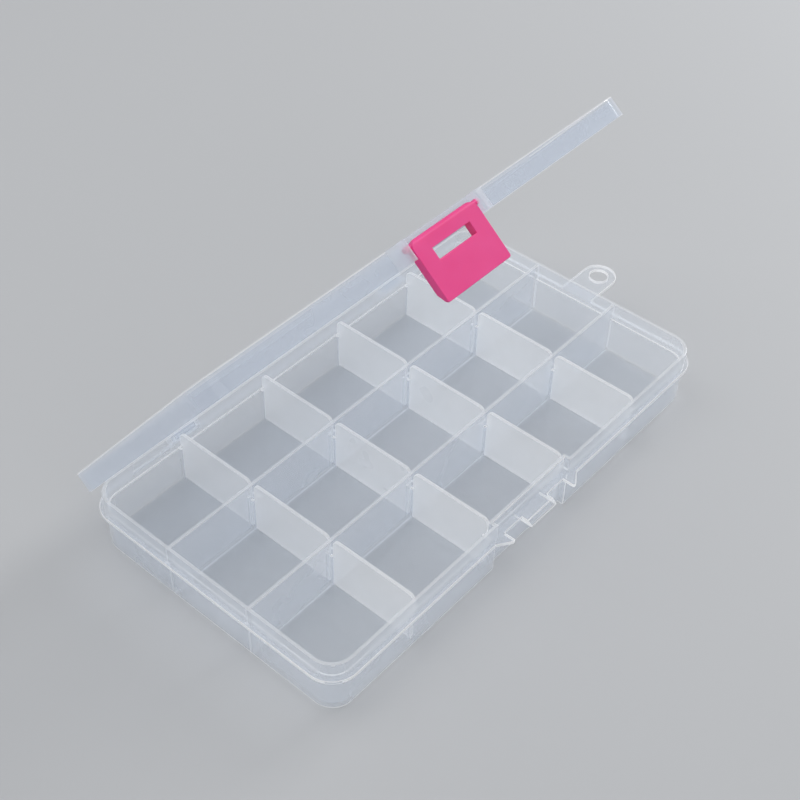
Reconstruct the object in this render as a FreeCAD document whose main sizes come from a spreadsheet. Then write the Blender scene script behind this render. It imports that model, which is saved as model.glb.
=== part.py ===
import FreeCAD, Part
import os

import Sketcher
from FreeCAD import Placement, Rotation, Vector

# Clear moulded box for beads, standing open: a shallow tray with two moulded partitions along it, loose
# dividers across it that stand between guide ribs, a lid clipped on hinge pins and a snap latch on the lid.
# Origin at the centre of the tray's underside, +Z up, +X towards the hanging eye, +Y towards the hinge.

# Driving sizes in millimetres, and the two angles at rest in degrees
sizes = {
    # Tray: plan size over the flange, the walls above and below it, and how deep things root in a wall
    "outer_length": 175.4,
    "outer_depth": 98.8,
    "corner_radius": 9.0,
    "base_height": 20.6,
    "floor_thickness": 1.1,
    "wall": 1.1,
    "wall_step": 0.5,
    "foot_round": 0.9,
    "flange_height": 14.0,
    "flange_thickness": 1.1,
    "flange_overhang": 1.3,
    "root_depth": 0.35,
    # Partitions and dividers
    "cell_pitch": 35.0,
    "row_pitch": 31.7,
    "partition_thickness": 1.0,
    "partition_drop": 0.3,
    "divider_thickness": 1.0,
    "divider_drop": 0.2,
    "divider_round": 2.0,
    "side_clearance": 0.15,
    "end_clearance": 0.25,
    "floor_clearance": 0.05,
    "rib_width": 0.9,
    "rib_depth": 0.9,
    # Front of the tray: wall recess, notched flange with an ear on each side, catch in the middle
    "recess_depth": 2.0,
    "recess_margin": 0.3,
    "notch_half_width": 14.2,
    "notch_depth": 1.0,
    "ear_reach": 3.0,
    "ear_tip": 1.0,
    "ear_round": 0.6,
    "ear_flank": 4.5,
    "catch_width": 12.2,
    "catch_reach": 3.7,
    "catch_thickness": 2.0,
    "catch_chamfer": 1.5,
    # Hanging eye on the flange
    "eye_radius": 6.0,
    "eye_hole_radius": 3.2,
    "eye_reach": 13.0,
    # Hinge at the back
    "hinge_setback": 2.1,
    "hinge_spacing": 96.0,
    "hinge_pin_radius": 1.0,
    "hinge_clearance": 0.1,
    "lug_radius": 1.6,
    "lug_width": 1.6,
    "knuckle_radius": 1.9,
    "knuckle_width": 8.0,
    "knuckle_gap": 0.3,
    "snap_width": 1.6,
    # Lid
    "lid_gap": 0.15,
    "lid_plate": 1.2,
    "lid_round": 0.5,
    "skirt": 1.1,
    "skirt_gap": 0.25,
    "lid_angle": 51.5,
    # Latch
    "latch_thickness": 2.8,
    "latch_gap": 0.4,
    "latch_side_gap": 0.8,
    "latch_pivot_drop": 2.9,
    "latch_foot_gap": 1.4,
    "latch_corner": 3.0,
    "latch_foot_corner": 0.8,
    "latch_bevel": 1.9,
    "latch_bevel_run": 3.2,
    "latch_pin_radius": 0.9,
    "latch_pin_clearance": 0.1,
    "latch_pin_length": 1.7,
    "latch_slot_width": 15.5,
    "latch_slot_height": 3.6,
    "latch_slot_rise": 0.6,
    "latch_lean": 1.5,
}

# Divider stations along the tray, and how closely edges and points have to agree
columns = 4
tolerance = 1e-6

doc = FreeCAD.newDocument("bead_box")
sheet = doc.addObject("Spreadsheet::Sheet", "Sizes")
for row, (alias, value) in enumerate(sizes.items(), start=1):
    sheet.set(f"A{row}", alias)
    sheet.set(f"B{row}", str(value))
    sheet.setAlias(f"B{row}", alias)
doc.recompute()

# Distances that several pieces share, as expressions of the driving sizes
half_x = "Sizes.outer_length / 2"
half_y = "Sizes.outer_depth / 2"
flange_top = "(Sizes.flange_height + Sizes.flange_thickness)"
step_height = "(Sizes.flange_height + Sizes.flange_thickness / 2)"
upper_outside = "Sizes.flange_overhang"
upper_inside = "(Sizes.flange_overhang + Sizes.wall)"
lower_outside = "(Sizes.flange_overhang + Sizes.wall_step)"
lower_inside = "(Sizes.flange_overhang + Sizes.wall_step + Sizes.wall)"
recess_half = "(Sizes.cell_pitch / 2 - Sizes.recess_margin)"
wall_face = f"({half_y} - {lower_inside})"
partition_face = "(Sizes.row_pitch / 2 + Sizes.partition_thickness / 2)"
slot_half = "(Sizes.divider_thickness / 2 + Sizes.side_clearance)"
notch_face = f"({half_y} - Sizes.notch_depth)"
hinge_y = f"({half_y} + Sizes.hinge_setback)"
hinge_z = step_height
skirt_bottom = f"({flange_top} + Sizes.skirt_gap)"
plate_bottom = "(Sizes.base_height + Sizes.lid_gap)"
plate_top = f"({plate_bottom} + Sizes.lid_plate)"
pivot_y = f"(-{notch_face} - Sizes.latch_gap - Sizes.latch_thickness / 2)"
pivot_z = f"({plate_top} - Sizes.latch_pivot_drop)"
latch_half = "(Sizes.notch_half_width - Sizes.latch_side_gap)"


def number(expression):
    return float(sheet.evalExpression(expression))


def new_body(label):
    return doc.addObject("PartDesign::Body", label)


def origin_feature(body, role):
    return next(feature for feature in body.Origin.OriginFeatures if feature.Role == role)


def new_sketch(body, name, plane, height="0", shift="0"):
    """A sketch on one of the body's own planes, raised by height and moved along its own Y by shift."""
    sketch = body.newObject("Sketcher::SketchObject", name)
    sketch.AttachmentSupport = [(origin_feature(body, plane), "")]
    sketch.MapMode = "FlatFace"
    sketch.setExpression("AttachmentOffset.Base.y", shift)
    sketch.setExpression("AttachmentOffset.Base.z", height)
    return sketch


def fix_coordinate(sketch, kind, axis, geometry, vertex, expression):
    """Holds one coordinate of a sketch point at an expression, measured from the sketch's origin."""
    value = number(expression)
    if abs(value) < tolerance:
        sketch.addConstraint(Sketcher.Constraint("PointOnObject", geometry, vertex, axis))
        return
    if value > 0:
        index = sketch.addConstraint(Sketcher.Constraint(kind, -1, 1, geometry, vertex, value))
        sketch.setExpression(f"Constraints[{index}]", expression)
    else:
        index = sketch.addConstraint(Sketcher.Constraint(kind, geometry, vertex, -1, 1, -value))
        sketch.setExpression(f"Constraints[{index}]", f"-({expression})")


def fix_point(sketch, geometry, vertex, x, y):
    fix_coordinate(sketch, "DistanceX", -2, geometry, vertex, x)
    fix_coordinate(sketch, "DistanceY", -1, geometry, vertex, y)


def line(sketch, start, end):
    return sketch.addGeometry(Part.LineSegment(Vector(*start, 0), Vector(*end, 0)))


def polygon(sketch, corners):
    """A closed outline of straight lines through corners given as expressions."""
    points = [(number(x), number(y)) for x, y in corners]
    sides = [line(sketch, start, end) for start, end in zip(points, points[1:] + points[:1])]
    for side, following in zip(sides, sides[1:] + sides[:1]):
        sketch.addConstraint(Sketcher.Constraint("Coincident", side, 2, following, 1))
    for side, corner in zip(sides, corners):
        fix_point(sketch, side, 1, *corner)


def rectangle(sketch, x_low, x_high, y_low, y_high):
    polygon(sketch, [(x_low, y_low), (x_high, y_low), (x_high, y_high), (x_low, y_high)])


def circle(sketch, x, y, radius):
    centre = Vector(number(x), number(y), 0)
    index = sketch.addGeometry(Part.Circle(centre, Vector(0, 0, 1), number(radius)))
    fix_point(sketch, index, 3, x, y)
    size = sketch.addConstraint(Sketcher.Constraint("Radius", index, number(radius)))
    sketch.setExpression(f"Constraints[{size}]", radius)


def corner_arc(sketch, x, y, radius, start, end):
    """A quarter circle between two angles, counted in right angles from the sketch's X axis."""
    quarter = FreeCAD.Units.Quantity("90 deg").getValueAs("rad").Value
    circle_shape = Part.Circle(Vector(x, y, 0), Vector(0, 0, 1), radius)
    return sketch.addGeometry(Part.ArcOfCircle(circle_shape, start * quarter, end * quarter))


def tray_outline(sketch, inset, recess, depth):
    """The box's plan, set in from the flange's edge, with round corners and a recess amid the front."""
    x = f"({half_x} - {inset})"
    y = f"({half_y} - {inset})"
    radius = f"(Sizes.corner_radius - {inset})"
    across = number(x)
    along = number(y)
    bend = number(radius)
    cut = number(recess)
    back = number(f"{y} - {depth}")
    front_corners = [(bend - across, -along), (-cut, -along), (-cut, -back), (cut, -back), (cut, -along)]
    front_corners.append((across - bend, -along))
    front = [line(sketch, start, end) for start, end in zip(front_corners, front_corners[1:])]
    front_left, _, recess_line, _, front_right = front
    near_right = corner_arc(sketch, across - bend, bend - along, bend, 3, 4)
    right = line(sketch, (across, bend - along), (across, along - bend))
    far_right = corner_arc(sketch, across - bend, along - bend, bend, 0, 1)
    rear = line(sketch, (across - bend, along), (bend - across, along))
    far_left = corner_arc(sketch, bend - across, along - bend, bend, 1, 2)
    left = line(sketch, (-across, along - bend), (-across, bend - along))
    near_left = corner_arc(sketch, bend - across, bend - along, bend, 2, 3)
    for before, after in zip(front, front[1:]):
        sketch.addConstraint(Sketcher.Constraint("Coincident", before, 2, after, 1))
    round_the_back = [front_right, near_right, right, far_right, rear, far_left, left, near_left, front_left]
    for before, after in zip(round_the_back, round_the_back[1:]):
        sketch.addConstraint(Sketcher.Constraint("Tangent", before, 2, after, 1))
    arcs = (near_right, far_right, far_left, near_left)
    for arc in arcs[1:]:
        sketch.addConstraint(Sketcher.Constraint("Equal", arcs[0], arc))
    for level in (front_left, front_right, rear):
        sketch.addConstraint(Sketcher.Constraint("Horizontal", level))
    for upright in (right, left):
        sketch.addConstraint(Sketcher.Constraint("Vertical", upright))
    size = sketch.addConstraint(Sketcher.Constraint("Radius", arcs[0], bend))
    sketch.setExpression(f"Constraints[{size}]", radius)
    fix_coordinate(sketch, "DistanceX", -2, right, 1, x)
    fix_coordinate(sketch, "DistanceX", -2, left, 1, f"-({x})")
    fix_coordinate(sketch, "DistanceY", -1, rear, 1, y)
    fix_point(sketch, front_left, 2, f"-({recess})", f"-({y})")
    fix_point(sketch, front_right, 1, recess, f"-({y})")
    fix_point(sketch, recess_line, 1, f"-({recess})", f"-({y} - {depth})")
    fix_point(sketch, recess_line, 2, recess, f"-({y} - {depth})")


def rib_outline(sketch, x_low, x_high, root, nose):
    """One guide rib in plan: square where it roots in a wall, round at its nose."""
    outward = 1 if number(nose) > number(root) else -1
    bend_y = f"{nose} - {outward} * Sizes.rib_width / 2"
    left = number(x_low)
    right = number(x_high)
    start = number(root)
    bend = number(bend_y)
    foot = line(sketch, (left, start), (right, start))
    right_side = line(sketch, (right, start), (right, bend))
    quarters = (0, 2) if outward > 0 else (2, 4)
    arc = corner_arc(sketch, (left + right) / 2, bend, (right - left) / 2, *quarters)
    left_side = line(sketch, (left, bend), (left, start))
    arc_right, arc_left = (1, 2) if outward > 0 else (2, 1)
    sketch.addConstraint(Sketcher.Constraint("Coincident", foot, 2, right_side, 1))
    sketch.addConstraint(Sketcher.Constraint("Coincident", left_side, 2, foot, 1))
    sketch.addConstraint(Sketcher.Constraint("Tangent", right_side, 2, arc, arc_right))
    sketch.addConstraint(Sketcher.Constraint("Tangent", left_side, 1, arc, arc_left))
    sketch.addConstraint(Sketcher.Constraint("Vertical", right_side))
    sketch.addConstraint(Sketcher.Constraint("Vertical", left_side))
    fix_point(sketch, foot, 1, x_low, root)
    fix_point(sketch, foot, 2, x_high, root)
    fix_coordinate(sketch, "DistanceY", -1, arc, 3, bend_y)


def ear_outline(sketch):
    """One front ear in plan: straight beside the notch, sloping back to the front edge on its other side."""
    root = f"-({half_y} - Sizes.notch_depth)"
    tip = f"-({half_y} + Sizes.ear_reach)"
    inner = "-Sizes.notch_half_width"
    outer = "-(Sizes.notch_half_width + Sizes.ear_tip)"
    foot = "-(Sizes.notch_half_width + Sizes.ear_tip + Sizes.ear_flank)"
    polygon(sketch, [(foot, root), (foot, f"-({half_y})"), (outer, tip), (inner, tip), (inner, root)])


def pad(body, sketch, name, length, reverse=False):
    feature = body.newObject("PartDesign::Pad", name)
    feature.Profile = sketch
    feature.setExpression("Length", length)
    feature.Reversed = reverse
    doc.recompute()
    return feature


def pocket(body, sketch, name, length, reverse=False):
    before = body.Shape.Volume
    feature = body.newObject("PartDesign::Pocket", name)
    feature.Profile = sketch
    feature.setExpression("Length", length)
    feature.Reversed = reverse
    doc.recompute()
    if body.Shape.Volume >= before:
        raise RuntimeError(f"{body.Label}: {name} cuts nothing")
    return feature


def mirror_across_middle(body, features, name):
    feature = body.newObject("PartDesign::Mirrored", name)
    feature.Originals = features
    feature.MirrorPlane = (origin_feature(body, "YZ_Plane"), [""])
    body.Tip = feature
    doc.recompute()


def fillet(body, name, radius, wanted):
    """Rounds every edge of the body so far that the wanted test accepts."""
    base = body.Tip
    names = [f"Edge{i}" for i, edge in enumerate(base.Shape.Edges, start=1) if wanted(edge)]
    feature = body.newObject("PartDesign::Fillet", name)
    feature.Base = (base, names)
    feature.setExpression("Radius", radius)
    doc.recompute()


def at_height(z):
    """A test for edges that lie flat at one height."""
    return lambda edge: edge.BoundBox.ZLength < tolerance and abs(edge.BoundBox.ZMax - z) < tolerance


def ear_tip_edge(shift="0"):
    """A test for the upright edges at the ears' tips, on a body whose plan is moved along Y by shift."""
    tip = number(f"{shift} - {half_y} - Sizes.ear_reach")

    def test(edge):
        upright = edge.BoundBox.XLength < tolerance and edge.BoundBox.YLength < tolerance
        return upright and abs(edge.BoundBox.YMax - tip) < tolerance

    return test


def build_tray():
    body = new_body("base_tray")

    # Walls: lower tier, flange and upper tier as one stack, hollowed from above in two steps
    sketch = new_sketch(body, "lower_plan", "XY_Plane")
    tray_outline(sketch, lower_outside, recess_half, "Sizes.recess_depth")
    pad(body, sketch, "lower_wall", step_height)
    fillet(body, "foot_edge", "Sizes.foot_round", at_height(0))
    sketch = new_sketch(body, "flange_plan", "XY_Plane", "Sizes.flange_height")
    tray_outline(sketch, "0", "Sizes.notch_half_width", "Sizes.notch_depth")
    pad(body, sketch, "flange", "Sizes.flange_thickness")
    sketch = new_sketch(body, "upper_plan", "XY_Plane", "Sizes.flange_height")
    tray_outline(sketch, upper_outside, recess_half, "Sizes.recess_depth")
    pad(body, sketch, "upper_wall", "Sizes.base_height - Sizes.flange_height")
    sketch = new_sketch(body, "ear_plan", "XY_Plane", "Sizes.flange_height")
    ear_outline(sketch)
    ear = pad(body, sketch, "ear", "Sizes.flange_thickness")
    mirror_across_middle(body, [ear], "ears")
    fillet(body, "ear_tips", "Sizes.ear_round", ear_tip_edge())
    recess_inside = f"({recess_half} + Sizes.wall)"
    sketch = new_sketch(body, "upper_room_plan", "XY_Plane", "Sizes.base_height")
    tray_outline(sketch, upper_inside, recess_inside, "Sizes.recess_depth")
    pocket(body, sketch, "upper_room", f"Sizes.base_height - {step_height}")
    sketch = new_sketch(body, "lower_room_plan", "XY_Plane", step_height)
    tray_outline(sketch, lower_inside, recess_inside, "Sizes.recess_depth")
    pocket(body, sketch, "lower_room", f"{step_height} - Sizes.floor_thickness")

    # Partitions along the tray, running into both end walls
    sketch = new_sketch(body, "partition_plan", "XY_Plane", "Sizes.floor_thickness")
    reach = f"({half_x} - {upper_inside} + Sizes.root_depth)"
    thick = "Sizes.partition_thickness / 2"
    for centre in ("Sizes.row_pitch / 2", "-Sizes.row_pitch / 2"):
        rectangle(sketch, f"-{reach}", reach, f"{centre} - {thick}", f"{centre} + {thick}")
    pad(body, sketch, "partitions", "Sizes.base_height - Sizes.partition_drop - Sizes.floor_thickness")

    # Guide ribs in pairs: across the partitions and on the back wall at all stations, then the front wall
    rib_height = f"{step_height} - Sizes.floor_thickness"
    embed = "Sizes.root_depth"
    end_station = f"(-Sizes.cell_pitch * {(columns - 1) / 2})"
    middle_station = "(-Sizes.cell_pitch / 2)"
    rib_root = "(Sizes.partition_thickness / 2 - Sizes.root_depth)"
    rib_nose = "(Sizes.partition_thickness / 2 + Sizes.rib_depth)"

    def rib_pair(sketch, station, root, nose):
        far = f"({slot_half} + Sizes.rib_width)"
        rib_outline(sketch, f"{station} - {far}", f"{station} - {slot_half}", root, nose)
        rib_outline(sketch, f"{station} + {slot_half}", f"{station} + {far}", root, nose)

    sketch = new_sketch(body, "rib_plan", "XY_Plane", "Sizes.floor_thickness")
    rib_pair(sketch, end_station, f"({wall_face} + {embed})", f"({wall_face} - Sizes.rib_depth)")
    for centre in ("Sizes.row_pitch / 2", "-Sizes.row_pitch / 2"):
        rib_pair(sketch, end_station, f"({centre} + {rib_root})", f"({centre} + {rib_nose})")
        rib_pair(sketch, end_station, f"({centre} - {rib_root})", f"({centre} - {rib_nose})")
    first_ribs = pad(body, sketch, "ribs", rib_height)
    stations = body.newObject("PartDesign::LinearPattern", "rib_stations")
    stations.Originals = [first_ribs]
    stations.Direction = (origin_feature(body, "X_Axis"), [""])
    stations.setExpression("Length", f"Sizes.cell_pitch * {columns - 1}")
    stations.Occurrences = columns
    body.Tip = stations
    doc.recompute()
    sketch = new_sketch(body, "front_rib_plan", "XY_Plane", "Sizes.floor_thickness")
    front_root = f"-({wall_face} + {embed})"
    rib_pair(sketch, end_station, front_root, f"-({wall_face} - Sizes.rib_depth)")
    recess_nose = f"-({wall_face} - Sizes.recess_depth - Sizes.rib_depth)"
    recess_root = f"-({wall_face} - Sizes.recess_depth + {embed})"
    outer_low = f"{middle_station} - {slot_half} - Sizes.rib_width"
    inner_high = f"{middle_station} + {slot_half} + Sizes.rib_width"
    rib_outline(sketch, outer_low, f"{middle_station} - {slot_half}", front_root, recess_nose)
    rib_outline(sketch, f"{middle_station} + {slot_half}", inner_high, recess_root, recess_nose)
    front_ribs = pad(body, sketch, "front_ribs", rib_height)
    mirror_across_middle(body, [front_ribs], "front_rib_stations")

    # Catch for the latch, with a sloped lip, and the hanging eye on the end
    sketch = new_sketch(body, "catch_side", "YZ_Plane", "-Sizes.catch_width / 2")
    tip = f"-({notch_face} + Sizes.catch_reach)"
    root = f"-({half_y} - {lower_outside} - Sizes.recess_depth - Sizes.root_depth)"
    catch_bottom = f"{flange_top} - Sizes.catch_thickness"
    catch_edge = f"{flange_top} - Sizes.catch_chamfer"
    catch_profile = [(root, catch_bottom), (root, flange_top), (f"{tip} + Sizes.catch_chamfer", flange_top)]
    polygon(sketch, catch_profile + [(tip, catch_edge), (tip, catch_bottom)])
    pad(body, sketch, "catch", "Sizes.catch_width")
    sketch = new_sketch(body, "eye_plan", "XY_Plane", "Sizes.flange_height")
    rectangle(sketch, f"{half_x} - Sizes.flange_overhang", f"{half_x} + Sizes.eye_reach", "-Sizes.eye_radius",
              "Sizes.eye_radius")
    pad(body, sketch, "eye_strip", "Sizes.flange_thickness")
    sketch = new_sketch(body, "eye_end_plan", "XY_Plane", "Sizes.flange_height")
    circle(sketch, f"{half_x} + Sizes.eye_reach", "0", "Sizes.eye_radius")
    pad(body, sketch, "eye_end", "Sizes.flange_thickness")
    sketch = new_sketch(body, "eye_hole_plan", "XY_Plane", flange_top)
    circle(sketch, f"{half_x} + Sizes.eye_reach", "0", "Sizes.eye_hole_radius")
    pocket(body, sketch, "eye_hole", "Sizes.flange_thickness")

    # Hinge: at each station two lugs on the flange carry a pin between them
    station = "(-Sizes.hinge_spacing / 2)"
    gap_half = "(Sizes.knuckle_width / 2 + Sizes.knuckle_gap)"
    lug_half = f"({gap_half} + Sizes.lug_width)"
    sketch = new_sketch(body, "lug_plan", "XY_Plane", "Sizes.flange_height")
    lug_root = f"{half_y} - Sizes.flange_overhang"
    rectangle(sketch, f"{station} - {lug_half}", f"{station} - {gap_half}", lug_root, hinge_y)
    rectangle(sketch, f"{station} + {gap_half}", f"{station} + {lug_half}", lug_root, hinge_y)
    strips = pad(body, sketch, "lug_strips", "Sizes.flange_thickness")
    sketch = new_sketch(body, "lug_side", "YZ_Plane", f"{station} - {lug_half}")
    circle(sketch, hinge_y, hinge_z, "Sizes.lug_radius")
    barrel = pad(body, sketch, "lug_barrel", f"2 * {lug_half}")
    sketch = new_sketch(body, "pin_side", "YZ_Plane", f"{station} - {gap_half}")
    circle(sketch, hinge_y, hinge_z, "Sizes.lug_radius + Sizes.knuckle_gap")
    circle(sketch, hinge_y, hinge_z, "Sizes.hinge_pin_radius")
    pin = pocket(body, sketch, "pin_groove", f"2 * {gap_half}", reverse=True)
    mirror_across_middle(body, [strips, barrel, pin], "hinge_stations")
    return body


def build_lid():
    """Modelled shut about its own hinge axis, then turned open by its placement."""
    body = new_body("lid")
    forward = f"-{hinge_y}"

    def height(z):
        return f"{z} - {hinge_z}"

    # Plate and skirt in the flange's plan, with the same ears, hollowed from below
    whole = f"{plate_top} - {skirt_bottom}"
    sketch = new_sketch(body, "lid_plan", "XY_Plane", height(skirt_bottom), forward)
    tray_outline(sketch, "0", "Sizes.notch_half_width", "Sizes.notch_depth")
    pad(body, sketch, "lid_block", whole)
    fillet(body, "top_edge", "Sizes.lid_round", at_height(number(height(plate_top))))
    sketch = new_sketch(body, "lid_ear_plan", "XY_Plane", height(skirt_bottom), forward)
    ear_outline(sketch)
    ear = pad(body, sketch, "lid_ear", whole)
    mirror_across_middle(body, [ear], "lid_ears")
    fillet(body, "lid_ear_tips", "Sizes.ear_round", ear_tip_edge(forward))
    sketch = new_sketch(body, "lid_room_plan", "XY_Plane", height(skirt_bottom), forward)
    tray_outline(sketch, "Sizes.skirt", "(Sizes.notch_half_width + Sizes.skirt)", "Sizes.notch_depth")
    pocket(body, sketch, "lid_room", f"{plate_bottom} - {skirt_bottom}", reverse=True)

    # Blind holes in the ears for the latch's pins
    reach = "(Sizes.notch_half_width + Sizes.latch_pin_length - Sizes.latch_side_gap + Sizes.knuckle_gap)"
    sketch = new_sketch(body, "pivot_side", "YZ_Plane", f"-{reach}")
    hole_radius = "Sizes.latch_pin_radius + Sizes.latch_pin_clearance"
    circle(sketch, f"{pivot_y} - {hinge_y}", height(pivot_z), hole_radius)
    pocket(body, sketch, "pivot_holes", f"2 * {reach}", reverse=True)

    # Knuckles that clip over the tray's hinge pins
    station = "(-Sizes.hinge_spacing / 2)"
    side = f"{station} - Sizes.knuckle_width / 2"
    sketch = new_sketch(body, "knuckle_side", "YZ_Plane", side)
    circle(sketch, "0", "0", "Sizes.knuckle_radius")
    ring = pad(body, sketch, "knuckle", "Sizes.knuckle_width")
    sketch = new_sketch(body, "web_side", "YZ_Plane", side)
    web_root = "-(Sizes.hinge_setback + Sizes.skirt / 2)"
    rectangle(sketch, web_root, "0", height(skirt_bottom), "Sizes.knuckle_radius")
    web = pad(body, sketch, "knuckle_web", "Sizes.knuckle_width")
    sketch = new_sketch(body, "bore_side", "YZ_Plane", side)
    circle(sketch, "0", "0", "Sizes.hinge_pin_radius + Sizes.hinge_clearance")
    bore = pocket(body, sketch, "knuckle_bore", "Sizes.knuckle_width", reverse=True)
    sketch = new_sketch(body, "snap_side", "YZ_Plane", side)
    mouth_end = "-(Sizes.knuckle_radius + Sizes.knuckle_gap)"
    rectangle(sketch, "-Sizes.snap_width / 2", "Sizes.snap_width / 2", mouth_end, "0")
    snap = pocket(body, sketch, "knuckle_mouth", "Sizes.knuckle_width", reverse=True)
    mirror_across_middle(body, [ring, web, bore, snap], "knuckles")

    body.Placement = Placement(Vector(0, 0, 0), Rotation(Vector(-1, 0, 0), number("Sizes.lid_angle")))
    body.setExpression("Placement.Base.y", hinge_y)
    body.setExpression("Placement.Base.z", hinge_z)
    body.setExpression("Placement.Rotation.Angle", "Sizes.lid_angle")
    return body


def build_latch():
    """Modelled hanging down from its own pivot axis, then placed in the open lid's ears."""
    body = new_body("latch")
    width = f"2 * {latch_half}"
    half_thick = "Sizes.latch_thickness / 2"
    drop = f"({pivot_z} - Sizes.latch_foot_gap)"

    # Flap with a bevelled foot, a round barrel along its top and a pin at each end of the barrel
    sketch = new_sketch(body, "flap_side", "YZ_Plane", f"-{latch_half}")
    foot = [(f"-{half_thick}", "0"), (f"-{half_thick}", f"-{drop}")]
    foot.append((f"{half_thick} - Sizes.latch_bevel", f"-{drop}"))
    heel = [(half_thick, f"-{drop} + Sizes.latch_bevel_run"), (half_thick, "0")]
    polygon(sketch, foot + heel)
    pad(body, sketch, "flap", width)
    sketch = new_sketch(body, "barrel_side", "YZ_Plane", f"-{latch_half}")
    circle(sketch, "0", "0", half_thick)
    pad(body, sketch, "barrel", width)

    def corner_cut(name, radius, z, up):
        """Rounds both corners of the flap's front view at one height."""
        sketch = new_sketch(body, f"{name}_front", "XZ_Plane", "-Sizes.latch_thickness")
        x = number(latch_half)
        bend = number(radius)
        edge = number(z)
        inward = edge - up * bend
        corner = Vector(-x, edge, 0)
        on_edge = Vector(bend - x, edge, 0)
        on_side = Vector(-x, inward, 0)
        sketch.addGeometry(Part.LineSegment(on_side, corner))
        sketch.addGeometry(Part.LineSegment(corner, on_edge))
        start, end = (1, 2) if up > 0 else (2, 3)
        arc = corner_arc(sketch, bend - x, inward, bend, start, end)
        first, last = (1, 2) if up > 0 else (2, 1)
        sketch.addConstraint(Sketcher.Constraint("Coincident", 0, 2, 1, 1))
        sketch.addConstraint(Sketcher.Constraint("Coincident", 1, 2, arc, first))
        sketch.addConstraint(Sketcher.Constraint("Coincident", 0, 1, arc, last))
        fix_point(sketch, arc, 3, f"{radius} - {latch_half}", f"{z} - {up} * {radius}")
        fix_point(sketch, 0, 2, f"-{latch_half}", z)
        fix_point(sketch, 0, 1, f"-{latch_half}", f"{z} - {up} * {radius}")
        fix_coordinate(sketch, "DistanceX", -2, 1, 2, f"{radius} - {latch_half}")
        cut = pocket(body, sketch, f"{name}_corner", "2 * Sizes.latch_thickness", reverse=True)
        mirror_across_middle(body, [cut], f"{name}_corners")

    corner_cut("top", "Sizes.latch_corner", half_thick, 1)
    corner_cut("foot", "Sizes.latch_foot_corner", f"-{drop}", -1)
    pin_reach = f"({latch_half} + Sizes.latch_pin_length)"
    sketch = new_sketch(body, "latch_pin_side", "YZ_Plane", f"-{pin_reach}")
    circle(sketch, "0", "0", "Sizes.latch_pin_radius")
    pad(body, sketch, "latch_pins", f"2 * {pin_reach}")

    # Slot that snaps over the tray's catch
    sketch = new_sketch(body, "slot_front", "XZ_Plane", "-Sizes.latch_thickness")
    slot_top = f"({flange_top} + Sizes.latch_slot_rise - {pivot_z})"
    slot_half_width = "Sizes.latch_slot_width / 2"
    slot_bottom = f"{slot_top} - Sizes.latch_slot_height"
    rectangle(sketch, f"-{slot_half_width}", slot_half_width, slot_bottom, slot_top)
    pocket(body, sketch, "latch_slot", "2 * Sizes.latch_thickness", reverse=True)

    turn = "Sizes.lid_angle * 1 deg"
    ahead = f"({pivot_y} - {hinge_y})"
    above = f"({pivot_z} - {hinge_z})"
    rest_angle = "Sizes.lid_angle - Sizes.latch_lean"
    body.Placement = Placement(Vector(0, 0, 0), Rotation(Vector(-1, 0, 0), number(rest_angle)))
    body.setExpression("Placement.Base.y", f"{hinge_y} + {ahead} * cos({turn}) + {above} * sin({turn})")
    body.setExpression("Placement.Base.z", f"{hinge_z} - {ahead} * sin({turn}) + {above} * cos({turn})")
    body.setExpression("Placement.Rotation.Angle", rest_angle)
    return body


def build_divider(label, x, y_low, y_high, shoulder_low, shoulder_high):
    """A loose divider between two faces; a shoulder reaches over the step of an outer wall."""
    body = new_body(label)
    low = f"({y_low} + Sizes.end_clearance)"
    high = f"({y_high} - Sizes.end_clearance)"
    bottom = "Sizes.floor_thickness + Sizes.floor_clearance"
    top = "Sizes.base_height - Sizes.divider_drop"
    ledge = f"{step_height} + Sizes.side_clearance"
    corners = [(low, bottom), (high, bottom)]
    if shoulder_high:
        corners += [(high, ledge), (f"{high} + Sizes.wall_step", ledge), (f"{high} + Sizes.wall_step", top)]
    else:
        corners += [(high, top)]
    if shoulder_low:
        corners += [(f"{low} - Sizes.wall_step", top), (f"{low} - Sizes.wall_step", ledge), (low, ledge)]
    else:
        corners += [(low, top)]
    sketch = new_sketch(body, f"{label}_side", "YZ_Plane", "-Sizes.divider_thickness / 2")
    polygon(sketch, corners)
    pad(body, sketch, f"{label}_plate", "Sizes.divider_thickness")
    top_height = number(top)

    def upper_corner(edge):
        across = edge.BoundBox.YLength < tolerance and edge.BoundBox.ZLength < tolerance
        return across and abs(edge.BoundBox.ZMax - top_height) < tolerance

    fillet(body, f"{label}_corners", "Sizes.divider_round", upper_corner)
    body.setExpression("Placement.Base.x", x)
    return body


pieces = [build_tray(), build_lid(), build_latch()]
for column in range(1, columns + 1):
    x = f"Sizes.cell_pitch * {column - (columns + 1) / 2}"
    beside_recess = abs(2 * column - columns - 1) == 1
    front_wall = f"-({wall_face} - Sizes.recess_depth)" if beside_recess else f"-{wall_face}"
    inner_low = f"-({partition_face} - Sizes.partition_thickness)"
    inner_high = f"({partition_face} - Sizes.partition_thickness)"
    pieces.append(build_divider(f"divider_back_{column}", x, partition_face, wall_face, False, True))
    pieces.append(build_divider(f"divider_middle_{column}", x, inner_low, inner_high, False, False))
    pieces.append(build_divider(f"divider_front_{column}", x, front_wall, f"-{partition_face}", True, False))
doc.recompute()

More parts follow.
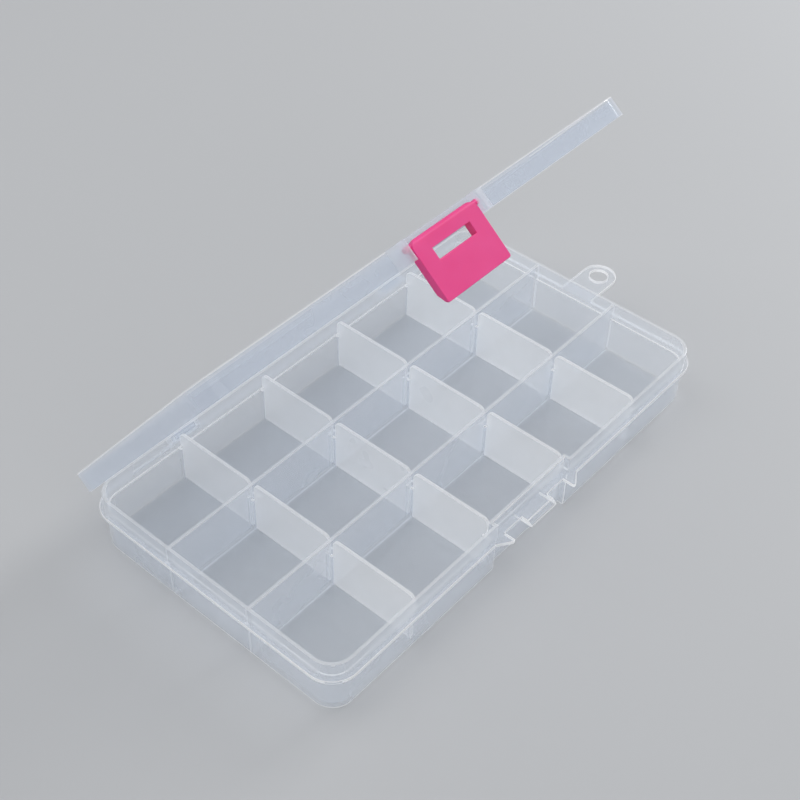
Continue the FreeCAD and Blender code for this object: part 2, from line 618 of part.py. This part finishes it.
for item in doc.Objects:
    if "Invalid" in item.State or "Error" in item.State:
        raise RuntimeError(f"{item.Label} failed: {item.State}")
os.makedirs("parts", exist_ok=True)
for piece in pieces:
    shape = piece.Shape
    if shape.isNull() or not shape.isValid() or len(shape.Solids) != 1:
        raise RuntimeError(f"{piece.Label} is not one valid solid")
    shape.exportStep(f"parts/{piece.Label}.step")
    box = shape.BoundBox
    print(f"{piece.Label}: {shape.Volume:.1f} mm3, x {box.XMin:.2f} to {box.XMax:.2f}, "
          f"y {box.YMin:.2f} to {box.YMax:.2f}, z {box.ZMin:.2f} to {box.ZMax:.2f}")
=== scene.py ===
import math

import bpy
from mathutils import Matrix, Vector


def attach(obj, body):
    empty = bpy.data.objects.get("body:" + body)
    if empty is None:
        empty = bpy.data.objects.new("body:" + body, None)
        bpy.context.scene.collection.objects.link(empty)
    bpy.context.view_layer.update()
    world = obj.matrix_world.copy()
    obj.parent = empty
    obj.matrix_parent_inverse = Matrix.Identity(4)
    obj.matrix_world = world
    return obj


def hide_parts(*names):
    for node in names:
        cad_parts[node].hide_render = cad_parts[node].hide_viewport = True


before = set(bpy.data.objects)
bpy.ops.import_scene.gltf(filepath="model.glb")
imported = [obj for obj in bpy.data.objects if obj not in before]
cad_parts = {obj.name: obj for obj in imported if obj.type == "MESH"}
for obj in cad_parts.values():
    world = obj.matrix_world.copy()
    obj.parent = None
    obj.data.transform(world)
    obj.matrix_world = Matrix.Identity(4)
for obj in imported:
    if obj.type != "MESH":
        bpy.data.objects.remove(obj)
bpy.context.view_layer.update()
mm = 0.001
print("frame loaded,", len(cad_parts), "pieces")


def linear(hexColour):
    # sRGB hex to the linear values that sockets take
    channels = [int(hexColour[i:i + 2], 16) / 255 for i in (1, 3, 5)]
    return [c / 12.92 if c <= 0.04045 else ((c + 0.055) / 1.055) ** 2.4 for c in channels] + [1.0]


def addNode(tree, kind, sockets=None, **settings):
    # sockets holds plain values, or an output socket to link from
    node = tree.nodes.new(kind)
    for name, value in settings.items():
        setattr(node, name, value)
    for socket, value in (sockets or {}).items():
        if isinstance(value, bpy.types.NodeSocket):
            tree.links.new(value, node.inputs[socket])
        else:
            node.inputs[socket].default_value = value
    return node


def newTree(name):
    material = bpy.data.materials.new(name)
    material.use_nodes = True
    material.node_tree.nodes.clear()
    return material, material.node_tree


# Natural polypropylene, moulded in a polished tool: glossy and see-through, with a milky haze that
# grows where the eye looks along the wall. The haze comes from crystals in the plastic, so it is
# uneven, in soft clouds a few centimetres wide.
def clearPolypropylene(name, look):
    material, tree = newTree(name)
    place = addNode(tree, "ShaderNodeTexCoord").outputs["Object"]
    clouds = addNode(tree, "ShaderNodeTexNoise", {
        "Vector": place, "Scale": 1 / look["cloudSize"], "Detail": 3.0, "Roughness": 0.55})
    graze = addNode(tree, "ShaderNodeLayerWeight", {"Blend": look["grazeBlend"]})
    headOn = addNode(tree, "ShaderNodeMapRange", {
        "Value": clouds.outputs["Fac"], "From Min": look["cloudLow"], "From Max": look["cloudHigh"],
        "To Min": look["hazeLow"], "To Max": look["hazeHigh"]})
    haze = addNode(tree, "ShaderNodeMapRange", {
        "Value": graze.outputs["Facing"], "To Min": headOn.outputs[0], "To Max": look["hazeGraze"]})
    if "thickRow" in look:
        # whiter where a partition stands behind the surface: partly the thick plastic, partly a painted
        # highlight line at the partition's foot
        across = addNode(tree, "ShaderNodeSeparateXYZ", {"Vector": place}).outputs["Y"]
        offCentre = addNode(tree, "ShaderNodeMath", {0: across}, operation="ABSOLUTE")
        offRow = addNode(tree, "ShaderNodeMath", {0: offCentre.outputs[0], 1: look["thickRow"]},
                         operation="SUBTRACT")
        near = addNode(tree, "ShaderNodeMath", {0: offRow.outputs[0]}, operation="ABSOLUTE")
        thick = addNode(tree, "ShaderNodeMapRange", {
            "Value": near.outputs[0], "From Min": look["thickHalf"],
            "From Max": look["thickHalf"] - look["thickFade"], "To Max": look["thickHazeAndHighlight"]})
        haze = addNode(tree, "ShaderNodeMath", {0: haze.outputs[0], 1: thick.outputs[0]}, operation="MAXIMUM")
    inside = addNode(tree, "ShaderNodeNewGeometry").outputs["Backfacing"]
    if "hazeInside" in look:
        # clearer where the surface is seen from inside the wall, so a painted highlight shows mostly from
        # outside
        side = addNode(tree, "ShaderNodeMapRange", {
            "Value": inside, "To Min": 1.0, "To Max": look["hazeInside"]})
        haze = addNode(tree, "ShaderNodeMath", {0: haze.outputs[0], 1: side.outputs[0]}, operation="MULTIPLY")
    ripple = addNode(tree, "ShaderNodeTexNoise", {
        "Vector": place, "Scale": 1 / look["rippleSize"], "Detail": 2.0})
    bump = addNode(tree, "ShaderNodeBump", {
        "Height": ripple.outputs["Fac"], "Strength": look["rippleStrength"], "Distance": look["rippleDepth"]})
    gloss = addNode(tree, "ShaderNodeMapRange", {
        "Value": clouds.outputs["Fac"], "From Min": look["cloudLow"], "From Max": look["cloudHigh"],
        "To Min": look["roughLow"], "To Max": look["roughHigh"]})
    mirror = addNode(tree, "ShaderNodeBsdfGlossy", {
        "Color": linear("#FFFFFF"), "Roughness": gloss.outputs[0], "Normal": bump.outputs[0]})
    through = addNode(tree, "ShaderNodeBsdfTransparent", {"Color": linear(look["tint"])})
    shine = addNode(tree, "ShaderNodeFresnel", {"IOR": look["ior"], "Normal": bump.outputs[0]})
    # a mirror on the outer faces only
    outerShine = addNode(tree, "ShaderNodeMix", {"Factor": inside, "A": shine.outputs[0], "B": 0.0})
    sheet = addNode(tree, "ShaderNodeMixShader", {
        0: outerShine.outputs["Result"], 1: through.outputs[0], 2: mirror.outputs[0]})
    front = addNode(tree, "ShaderNodeBsdfDiffuse", {"Color": linear(look["milk"])})
    back = addNode(tree, "ShaderNodeBsdfTranslucent", {"Color": linear(look["milk"])})
    milk = addNode(tree, "ShaderNodeMixShader", {
        0: look["backLight"], 1: front.outputs[0], 2: back.outputs[0]})
    whole = addNode(tree, "ShaderNodeMixShader", {
        0: haze.outputs[0], 1: sheet.outputs[0], 2: milk.outputs[0]})
    # a lamp shines through the thin walls, so the cells stay lit
    shadowRay = addNode(tree, "ShaderNodeLightPath").outputs["Is Shadow Ray"]
    shade = addNode(tree, "ShaderNodeMapRange", {"Value": shadowRay, "To Max": look["lampLight"]})
    clear = addNode(tree, "ShaderNodeBsdfTransparent", {"Color": linear("#FFFFFF")})
    lit = addNode(tree, "ShaderNodeMixShader", {
        0: shade.outputs[0], 1: whole.outputs[0], 2: clear.outputs[0]})
    addNode(tree, "ShaderNodeOutputMaterial", {"Surface": lit.outputs[0]})
    return material


plasticLook = {
    "tint": "#FBFCFD", "milk": "#F1F4F9", "ior": 1.49, "backLight": 0.45, "lampLight": 0.5,
    "hazeLow": 0.12, "hazeHigh": 0.19, "hazeGraze": 0.45, "grazeBlend": 0.25,
    "cloudSize": 30 * mm, "cloudLow": 0.3, "cloudHigh": 0.7,
    "rippleSize": 14 * mm, "rippleStrength": 0.12, "rippleDepth": 0.15 * mm,
    "roughLow": 0.06, "roughHigh": 0.16,
}
# the band at the partition feet is partly a painted highlight line
wallLook = dict(plasticLook, thickRow=15.85 * mm, thickHalf=0.48 * mm, thickFade=0.1 * mm, thickHazeAndHighlight=0.58)
floorLook = dict(wallLook, hazeLow=0.02, hazeHigh=0.08, hazeGraze=0.3, cloudSize=18 * mm)
upperLook = dict(wallLook, hazeLow=0.16, hazeHigh=0.22, hazeGraze=0.5)
# white haze for painted highlight lines along edges, rim tops, the flange, the step and the foot
edgeHighlightLook = dict(plasticLook, milk="#FFFFFF", hazeLow=0.50, hazeHigh=0.60, hazeGraze=0.75,
                roughLow=0.10, roughHigh=0.2)
rimHighlightLook = dict(edgeHighlightLook, hazeLow=0.34, hazeHigh=0.42, hazeGraze=0.6)
lineHighlightLook = dict(edgeHighlightLook, hazeLow=0.90, hazeHigh=0.96, hazeGraze=0.98)
footHighlightLook = dict(lineHighlightLook, hazeInside=0.2)
lidLook = dict(plasticLook, tint="#F4F7FB", hazeLow=0.17, hazeHigh=0.25, hazeGraze=0.5)
earLook = dict(lidLook, hazeLow=0.32, hazeHigh=0.40)
dividerLook = dict(plasticLook, milk="#FAFAFA", hazeLow=0.25, hazeHigh=0.32, hazeGraze=0.6,
                   roughLow=0.25, roughHigh=0.4)


# Pigmented polypropylene, moulded in a fine spark-eroded tool: even hot pink, satin gloss, light bleeding a
# little into the thin edges.
def pinkPolypropylene(name, look):
    material, tree = newTree(name)
    place = addNode(tree, "ShaderNodeTexCoord").outputs["Object"]
    swirl = addNode(tree, "ShaderNodeTexNoise", {
        "Vector": place, "Scale": 1 / look["swirlSize"], "Detail": 2.0})
    colour = addNode(tree, "ShaderNodeMix", {
        "Factor": swirl.outputs["Fac"], "A": linear(look["dark"]), "B": linear(look["light"])},
        data_type="RGBA")
    grain = addNode(tree, "ShaderNodeTexNoise", {
        "Vector": place, "Scale": 1 / look["grainSize"], "Detail": 1.0})
    bump = addNode(tree, "ShaderNodeBump", {
        "Height": grain.outputs["Fac"], "Strength": look["grainStrength"], "Distance": look["grainDepth"]})
    rough = addNode(tree, "ShaderNodeMapRange", {
        "Value": swirl.outputs["Fac"], "To Min": look["roughLow"], "To Max": look["roughHigh"]})
    shell = addNode(tree, "ShaderNodeBsdfPrincipled", {
        "Base Color": colour.outputs["Result"], "Roughness": rough.outputs[0], "IOR": look["ior"],
        "Normal": bump.outputs[0], "Subsurface Weight": look["bleed"],
        "Subsurface Scale": look["bleedDepth"], "Subsurface Radius": look["bleedColour"]})
    addNode(tree, "ShaderNodeOutputMaterial", {"Surface": shell.outputs[0]})
    return material


latchLook = {
    "dark": "#E93A86", "light": "#F3529B", "ior": 1.49, "roughLow": 0.38, "roughHigh": 0.48,
    "swirlSize": 12 * mm, "grainSize": 0.5 * mm, "grainStrength": 0.12, "grainDepth": 0.02 * mm,
    "bleed": 0.25, "bleedDepth": 1.2 * mm, "bleedColour": (1.0, 0.35, 0.5),
}

wallFinish = clearPolypropylene("clearPolypropylene", wallLook)
floorFinish = clearPolypropylene("polishedPolypropyleneFloor", floorLook)
# the next four paint highlight lines in white haze
edgeHighlightPaint = clearPolypropylene("paintedHighlightEdge", edgeHighlightLook)
rimHighlightPaint = clearPolypropylene("paintedHighlightRim", rimHighlightLook)
lineHighlightPaint = clearPolypropylene("paintedHighlightLip", lineHighlightLook)
footHighlightPaint = clearPolypropylene("paintedHighlightFoot", footHighlightLook)
upperFinish = clearPolypropylene("hazyPolypropyleneWall", upperLook)
lidFinish = clearPolypropylene("hazyPolypropyleneLid", lidLook)
earFinish = clearPolypropylene("thickPolypropyleneEar", earLook)
dividerFinish = clearPolypropylene("frostedPolypropylene", dividerLook)
latchFinish = pinkPolypropylene("pinkPolypropylene", latchLook)
print("finishes made")


def markOuterEdges(mesh, sharpAngle, clearance):
    # bevel weight on the edges that stick out, none on the creases or where there is no room beside the edge
    sides = {}
    for face in mesh.polygons:
        corners = list(face.vertices)
        for start, end in zip(corners, corners[1:] + corners[:1]):
            along = mesh.vertices[end].co - mesh.vertices[start].co
            sides.setdefault((min(start, end), max(start, end)), []).append((face.normal, along))
    outer, room = [], {}
    for edge in mesh.edges:
        pair = sides.get(edge.key, [])
        sharp = len(pair) == 2 and pair[0][0].angle(pair[1][0], 0) > sharpAngle
        if sharp and pair[0][0].cross(pair[1][0]).dot(pair[0][1]) > 0:
            outer.append(edge)
        elif pair:
            for corner in edge.vertices:
                room[corner] = min(room.get(corner, 1.0), pair[0][1].length)
    weights = mesh.attributes.new("bevel_weight_edge", "FLOAT", "EDGE")
    for edge in outer:
        if min(room.get(corner, 1.0) for corner in edge.vertices) > clearance:
            weights.data[edge.index].value = 1.0


def softCopy(nodeName, pieceName, shape, finishes):
    # a copy of the moulding with the small radii that its tool leaves on every edge
    bpy.ops.object.select_all(action="DESELECT")
    piece = bpy.data.objects.new(pieceName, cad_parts[nodeName].data.copy())
    bpy.context.scene.collection.objects.link(piece)
    piece.data.name = pieceName
    piece.data.materials.clear()
    for finish in finishes:
        piece.data.materials.append(finish)
    piece.select_set(True)
    bpy.context.view_layer.objects.active = piece
    bpy.ops.object.mode_set(mode="EDIT")
    bpy.ops.mesh.select_all(action="SELECT")
    bpy.ops.mesh.remove_doubles(threshold=shape["weld"])
    bpy.ops.mesh.dissolve_limited(angle_limit=math.radians(shape["flatAngle"]))
    bpy.ops.object.mode_set(mode="OBJECT")
    markOuterEdges(piece.data, math.radians(shape["sharpAngle"]), 2 * shape["radius"])
    bevel = piece.modifiers.new("softEdges", "BEVEL")
    bevel.width = shape["radius"]
    bevel.segments = shape["segments"]
    bevel.limit_method = "WEIGHT"
    bevel.use_clamp_overlap = True
    # bevel strips take the last finish, a painted highlight line
    bevel.material = len(finishes) - 1  # the last finish is the bright line along an edge
    bpy.ops.object.modifier_apply(modifier=bevel.name)
    bpy.ops.object.shade_smooth_by_angle(angle=math.radians(shape["smoothAngle"]))
    flat = piece.modifiers.new("flatFaces", "WEIGHTED_NORMAL")
    flat.weight = 100
    flat.keep_sharp = True
    bpy.ops.object.modifier_apply(modifier=flat.name)
    return piece


def paintFaces(piece, finishIndex, wanted):
    for face in piece.data.polygons:
        if wanted(face):
            face.material_index = finishIndex


trayShape = {
    "weld": 0.002 * mm, "flatAngle": 1.0, "sharpAngle": 35.0, "smoothAngle": 20.0, "radius": 0.2 * mm,
    "segments": 2, "upward": 0.9, "upright": 0.5, "halfLength": 87.7 * mm, "halfDepth": 49.4 * mm,
    "edgeHeight": 19.0 * mm, "floorHeight": 2.0 * mm, "footHeight": 0.95 * mm, "lipLow": 14.0 * mm,
    "lipHigh": 15.1 * mm, "stepHigh": 14.9 * mm, "lipInset": 1.0 * mm, "wallInset": 3.0 * mm,
}
trayFinishes = [wallFinish, floorFinish, rimHighlightPaint, upperFinish, footHighlightPaint, lineHighlightPaint]
tray = softCopy("base_tray", "trayMoulding", trayShape, trayFinishes)


def nearOutside(face, inset):
    # within this inset of the tray's outer walls
    return (abs(face.center.x) > trayShape["halfLength"] - inset
            or abs(face.center.y) > trayShape["halfDepth"] - inset)


def onRim(face):
    # the tops of the rim and partitions, painted as a highlight line
    return face.center.z > trayShape["edgeHeight"] and face.normal.z > trayShape["upward"]


def onFoot(face):
    # the round along the foot, painted as a highlight line
    return face.center.z < trayShape["footHeight"] and abs(face.normal.z) < trayShape["upward"]


def onLip(face):
    # the flange's outer edge, and the small step inside the wall at the same height, painted as highlight
    # lines
    if not trayShape["lipLow"] < face.center.z < trayShape["lipHigh"]:
        return False
    step = face.normal.z > trayShape["upward"] and face.center.z < trayShape["stepHigh"]
    return step or (nearOutside(face, trayShape["lipInset"]) and abs(face.normal.z) < trayShape["upright"])


def onUpperWall(face):
    above = face.center.z > trayShape["lipHigh"] and abs(face.normal.z) < trayShape["upright"]
    return above and nearOutside(face, trayShape["wallInset"])


def onFloor(face):
    return face.center.z < trayShape["floorHeight"] and abs(face.normal.z) > trayShape["upward"]


# rim tops, flange edge, step and foot get painted highlight lines; the upper wall and floor get their own
# haze
for finish, wanted in ((upperFinish, onUpperWall), (rimHighlightPaint, onRim), (lineHighlightPaint, onLip),
                       (footHighlightPaint, onFoot), (floorFinish, onFloor)):
    paintFaces(tray, trayFinishes.index(finish), wanted)
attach(tray, "base")
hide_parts("base_tray")
print("tray done,", len(tray.data.polygons), "faces")

lidShape = dict(trayShape, tilt=math.radians(51.5), hinge=(0, 51.5 * mm, 14.55 * mm), rimHeight=2.0 * mm,
                roundLow=0.2, roundHigh=0.97, pin=(0, -8.29 * mm, 96.94 * mm), earOuter=24 * mm,
                earReach=5 * mm)
lidFinishes = [lidFinish, edgeHighlightPaint, earFinish, lineHighlightPaint]
lid = softCopy("lid", "lidMoulding", lidShape, lidFinishes)
lidUp = Vector((0, math.sin(lidShape["tilt"]), math.cos(lidShape["tilt"])))


def onLidEdge(face):
    # the round along the plate's edge, or the skirt's rim, painted as a highlight line
    rise = face.normal.dot(lidUp)
    height = (face.center - Vector(lidShape["hinge"])).dot(lidUp)
    rim = rise < -lidShape["upward"] and height < lidShape["rimHeight"]
    return rim or lidShape["roundLow"] < rise < lidShape["roundHigh"]


def onEar(face):
    # the two solid ears that hold the latch's pins
    fromPin = (face.center - Vector(lidShape["pin"])) * Vector((0, 1, 1))
    return abs(face.center.x) < lidShape["earOuter"] and fromPin.length < lidShape["earReach"]


# painted highlight lines on the lid's edges
paintFaces(lid, lidFinishes.index(edgeHighlightPaint), onLidEdge)
paintFaces(lid, lidFinishes.index(earFinish), onEar)
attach(lid, "lid")
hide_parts("lid")
print("lid done,", len(lid.data.polygons), "faces")

latchShape = dict(trayShape, segments=3)
latch = softCopy("latch", "latchMoulding", latchShape, [latchFinish])
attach(latch, "latch")
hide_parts("latch")
print("latch done,", len(latch.data.polygons), "faces")

dividerShape = dict(trayShape, radius=0.15 * mm, sideways=0.5)
dividerFinishes = [dividerFinish, edgeHighlightPaint, lineHighlightPaint]


# the narrow edges of a divider, painted as a highlight line
def onDividerEdge(face):
    return abs(face.normal.x) < dividerShape["sideways"]


for nodeName in sorted(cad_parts):
    if not nodeName.startswith("divider_"):
        continue
    row, column = nodeName.split("_")[1:]
    divider = softCopy(nodeName, "divider" + row.capitalize() + column, dividerShape, dividerFinishes)
    paintFaces(divider, dividerFinishes.index(edgeHighlightPaint), onDividerEdge)
    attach(divider, nodeName)
    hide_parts(nodeName)
print("dividers done")

# Plain pale floor and soft light
stageLook = {"floorSize": 6.0, "floorDrop": 0.05 * mm, "floorColour": "#BBBDC0", "floorRough": 0.6,
             "floorShine": 0.3, "worldColour": "#FFFFFF", "worldStrength": 0.30,
             "worldSeen": 0.51, "litReach": 0.45, "farReach": 1.0}
bpy.ops.object.select_all(action="DESELECT")
bpy.ops.mesh.primitive_plane_add(size=stageLook["floorSize"], location=(0, 0, -stageLook["floorDrop"]))
floor = bpy.context.active_object
floor.name = "floor"


def backgroundRay(tree):
    # sight lines, and what the gloss mirrors: these see an even pale background where the lamps don't reach
    path = addNode(tree, "ShaderNodeLightPath")
    mirrored = addNode(tree, "ShaderNodeMath", {
        0: path.outputs["Is Glossy Ray"], 1: path.outputs["Is Transmission Ray"]}, operation="MAXIMUM")
    seen = addNode(tree, "ShaderNodeMath", {
        0: path.outputs["Is Camera Ray"], 1: mirrored.outputs[0]}, operation="MAXIMUM")
    return seen.outputs[0]


floorMaterial, floorTree = newTree("paleFloor")
floorShell = addNode(floorTree, "ShaderNodeBsdfPrincipled", {
    "Base Color": linear(stageLook["floorColour"]), "Roughness": stageLook["floorRough"],
    "Specular IOR Level": stageLook["floorShine"]})
floorPlace = addNode(floorTree, "ShaderNodeTexCoord").outputs["Object"]
floorReach = addNode(floorTree, "ShaderNodeVectorMath", {0: floorPlace}, operation="LENGTH")
floorFar = addNode(floorTree, "ShaderNodeMapRange", {
    "Value": floorReach.outputs["Value"], "From Min": stageLook["litReach"],
    "From Max": stageLook["farReach"]})
farShare = addNode(floorTree, "ShaderNodeMath", {
    0: floorFar.outputs[0], 1: backgroundRay(floorTree)}, operation="MULTIPLY")
farGlow = addNode(floorTree, "ShaderNodeEmission", {"Color": linear(stageLook["floorColour"])})
floorWhole = addNode(floorTree, "ShaderNodeMixShader", {
    0: farShare.outputs[0], 1: floorShell.outputs[0], 2: farGlow.outputs[0]})
addNode(floorTree, "ShaderNodeOutputMaterial", {"Surface": floorWhole.outputs[0]})
floorMaterial.cycles.emission_sampling = "NONE"
floor.data.materials.append(floorMaterial)

world = bpy.data.worlds.new("softRoom")
bpy.context.scene.world = world
world.use_nodes = True
world.node_tree.nodes.clear()
skyStrength = addNode(world.node_tree, "ShaderNodeMapRange", {
    "Value": backgroundRay(world.node_tree), "To Min": stageLook["worldStrength"],
    "To Max": stageLook["worldSeen"]})
sky = addNode(world.node_tree, "ShaderNodeBackground", {
    "Color": linear(stageLook["worldColour"]), "Strength": skyStrength.outputs[0]})
addNode(world.node_tree, "ShaderNodeOutputWorld", {"Surface": sky.outputs[0]})

lamps = {
    "sideSoftbox": {"at": (1.10, -0.06, 0.68), "size": 0.5, "power": 8.5},
    "overheadSoftbox": {"at": (-0.25, 0.45, 1.00), "size": 0.8, "power": 5.0},
    "frontSoftbox": {"at": (-0.33, -0.88, 0.55), "size": 1.0, "power": 3.0},
}
for name, lamp in lamps.items():
    light = bpy.data.lights.new(name, "AREA")
    light.shape = "SQUARE"
    light.size = lamp["size"]
    light.energy = lamp["power"]
    softbox = bpy.data.objects.new(name, light)
    softbox.location = lamp["at"]
    softbox.rotation_euler = (-Vector(lamp["at"])).to_track_quat("-Z", "Y").to_euler()
    bpy.context.scene.collection.objects.link(softbox)
print("floor and lamps done")

# Where the photograph was taken from: solved on the rim, flange and partition lines
shot = {"at": (-242.2 * mm, -198.4 * mm, 329.2 * mm), "azimuth": -50.05, "elevation": 44.03, "roll": 1.60,
        "lens": 64.36, "sensor": 36.0}
azimuth, elevation, roll = (math.radians(shot[key]) for key in ("azimuth", "elevation", "roll"))
back = Vector((math.sin(azimuth) * math.cos(elevation), -math.cos(azimuth) * math.cos(elevation),
               math.sin(elevation)))
level = Vector((math.cos(azimuth), math.sin(azimuth), 0))
upright = back.cross(level)
right = level * math.cos(roll) + upright * math.sin(roll)
up = back.cross(right)
cameraData = bpy.data.cameras.new("photoCamera")
cameraData.lens = shot["lens"]
cameraData.sensor_width = shot["sensor"]
camera = bpy.data.objects.new("photoCamera", cameraData)
camera.matrix_world = Matrix.Translation(shot["at"]) @ Matrix((right, up, back)).transposed().to_4x4()
bpy.context.scene.collection.objects.link(camera)
bpy.context.scene.camera = camera
bpy.context.scene.view_settings.view_transform = "Standard"
bpy.context.scene.cycles.transparent_max_bounces = 48  # sight lines cross many thin walls

print("scene ready")
